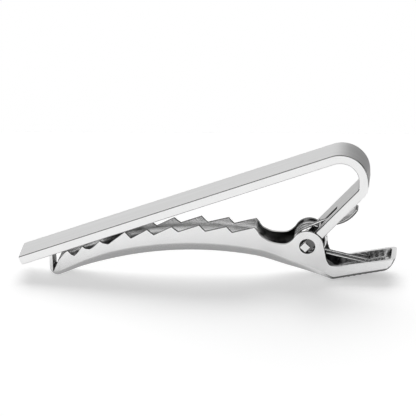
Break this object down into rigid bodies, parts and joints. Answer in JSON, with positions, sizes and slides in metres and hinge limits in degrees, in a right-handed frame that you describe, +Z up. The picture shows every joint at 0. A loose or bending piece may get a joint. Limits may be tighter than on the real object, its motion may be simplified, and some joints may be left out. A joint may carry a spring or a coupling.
{
  "type": "tie clip",
  "caption": "Sprung tie clip: a folded flat bar hinged in the ears of a toothed sheet jaw with a thumb tray, held shut by a coil spring.",
  "frame": {"origin": "middle of the bounding box in plan, at the height of the table that the jaw stands on with its nose and its heel", "axes": "+X from the bar's tip to the thumb tray, +Y across the clip to its rear side, +Z up from the table"},
  "size_m": [0.0604, 0.0062, 0.0214],
  "materials": {
    "bar_steel": "polished plate, fine satin on the flat faces",
    "jaw_steel": "bright plate on stamped sheet",
    "spring_steel": "bright drawn wire",
    "keeper_steel": "bright plate"
  },
  "bodies": {
    "jaw_body": {"jaw": "jaw_steel", "spring": "spring_steel"},
    "bar_body": {"bar": "bar_steel", "spring_keeper": "keeper_steel"}
  },
  "joints": [
    {"name": "clip_hinge", "type": "hinge", "parent": "jaw_body", "child": "bar_body", "pos_m": [0.01588, 0, 0.00578], "axis": [0, 1, 0], "range_deg": [0, 40], "stiffness_Nm_per_rad": 0.0105, "springref_deg": -68.75, "deforming": ["spring"]}
  ]
}
